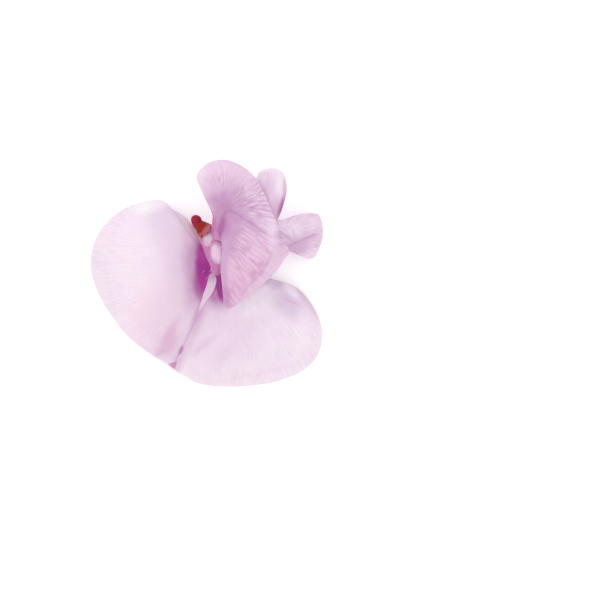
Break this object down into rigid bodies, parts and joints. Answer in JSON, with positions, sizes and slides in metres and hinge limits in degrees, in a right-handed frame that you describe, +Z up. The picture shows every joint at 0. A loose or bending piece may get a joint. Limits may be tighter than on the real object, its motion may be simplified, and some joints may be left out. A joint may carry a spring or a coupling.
{
  "type": "bean flower",
  "caption": "Picked bean flower lying face up: a broad lobed banner petal, wing petals and a keel turned over to one side, held by a small calyx with a stub of stalk.",
  "frame": {"origin": "on the surface that the flower lies on, under the middle of its box", "axes": "+Z up from the surface towards the flower's open face, +X across the flower from the banner's left lobe to the right wing's tip, +Y towards the side of the calyx and the turned-over wings"},
  "size_m": [0.0351, 0.0339, 0.01],
  "materials": {
    "banner_petal": "soft satin petal, pale pink with a magenta throat",
    "wing_petal": "soft satin petal, lilac pink with darker veins",
    "keel_petal": "soft satin petal, pale pink",
    "stamen": "matt cream",
    "pistil_green": "downy pale green",
    "calyx_brown": "satin red brown",
    "stalk_red": "satin dark red"
  },
  "bodies": {
    "root": {"banner": "banner_petal", "wing_left": "wing_petal", "wing_right": "wing_petal", "keel": "keel_petal", "stamen_sheath": "stamen", "free_stamen": "stamen", "pistil": "pistil_green", "calyx": "calyx_brown", "pedicel": "stalk_red"}
  },
  "joints": []
}
